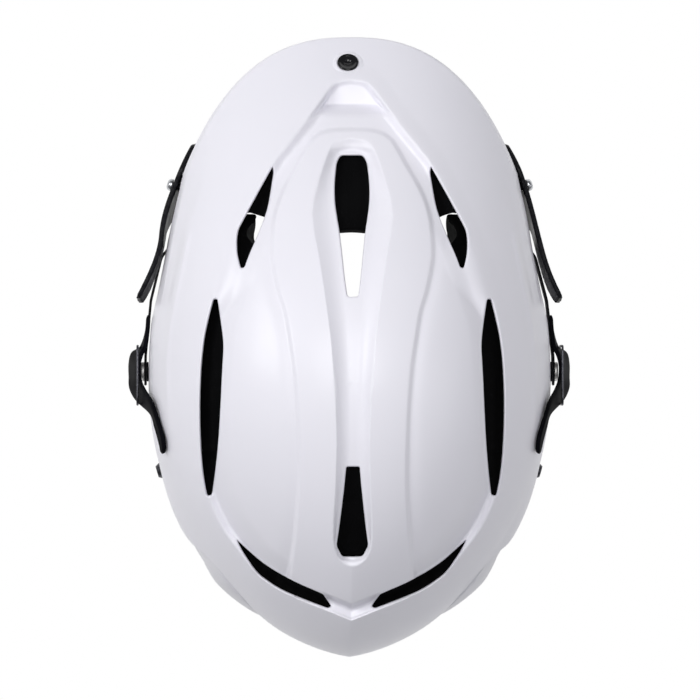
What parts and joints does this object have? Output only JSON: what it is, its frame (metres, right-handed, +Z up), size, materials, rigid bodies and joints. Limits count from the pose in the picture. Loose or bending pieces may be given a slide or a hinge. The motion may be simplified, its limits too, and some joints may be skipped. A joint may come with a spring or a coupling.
{
  "type": "lacrosse helmet",
  "caption": "White vented lacrosse helmet with a brim, black chin guard, wire face mask, side strap arms with wire loops, chin strap and cup, pads and a sliding fit cradle.",
  "frame": {"origin": "on the resting plane, under the middle of the shell's length and width", "axes": "+Z up, -Y towards the brim and face, +X towards the wearer's left"},
  "size_m": [0.2406, 0.3341, 0.2381],
  "materials": {
    "shell": "glossy white moulded shell",
    "guard": "fine matt black moulding",
    "wire": "satin steel wire",
    "clip": "matt black moulding",
    "screw": "black oxide",
    "stud": "polished",
    "buckle": "satin",
    "arm": "matt black moulding",
    "cup": "semi-gloss black",
    "slider": "matt black moulding",
    "webbing": "woven black webbing",
    "cradle": "matt black moulding",
    "pad": "black knitted cover over foam"
  },
  "bodies": {
    "helmet": {"brow_bar": "wire", "brow_clip": "clip", "brow_screw": "screw", "chin_bar": "wire", "chin_guard": "guard", "crown_pad": "pad", "eye_bar": "wire", "front_pad": "pad", "left_inner_upright": "wire", "left_jaw_pad": "pad", "left_mask_clip": "clip", "left_outer_upright": "wire", "left_side_pad": "pad", "left_snap_stud": "stud", "left_strap_arm": "arm", "lower_bar": "wire", "mask_screws": "screw", "middle_bar": "wire", "nape_guard": "shell", "nape_screws": "screw", "rear_pad": "pad", "right_inner_upright": "wire", "right_jaw_pad": "pad", "right_mask_clip": "clip", "right_outer_upright": "wire", "right_side_pad": "pad", "right_snap_stud": "stud", "right_strap_arm": "arm", "shell": "shell"},
    "chin_strap": {"left_chin_strap": "webbing", "right_chin_strap": "webbing", "chin_cup": "cup", "chin_cup_pad": "pad"},
    "left_slider": {"left_strap_slider": "slider"},
    "right_slider": {"right_strap_slider": "slider"},
    "left_buckle": {"left_buckle_wire": "buckle"},
    "right_buckle": {"right_buckle_wire": "buckle"},
    "cradle": {"fit_cradle": "cradle", "cradle_pad": "pad"}
  },
  "joints": [
    {"name": "chin_strap_swing", "type": "hinge", "parent": "helmet", "child": "chin_strap", "pos_m": [0, 0.0125, 0.106], "axis": [1, 0, 0], "range_deg": [-6, 6]},
    {"name": "left_slider_slide", "type": "slide", "parent": "chin_strap", "child": "left_slider", "axis": [-0.8332, -0.4687, -0.2936], "range_m": [-0.008, 0.008]},
    {"name": "right_slider_slide", "type": "slide", "parent": "chin_strap", "child": "right_slider", "axis": [0.8332, -0.4687, -0.2936], "range_m": [-0.008, 0.008]},
    {"name": "left_buckle_flip", "type": "hinge", "parent": "helmet", "child": "left_buckle", "pos_m": [0.1144, 0.0155, 0.09], "axis": [0, 1, 0], "range_deg": [0, 20]},
    {"name": "right_buckle_flip", "type": "hinge", "parent": "helmet", "child": "right_buckle", "pos_m": [-0.1144, 0.0155, 0.09], "axis": [0, -1, 0], "range_deg": [0, 20]},
    {"name": "fit_cradle_slide", "type": "slide", "parent": "helmet", "child": "cradle", "axis": [0, -1, 0], "range_m": [0, 0.012]}
  ]
}
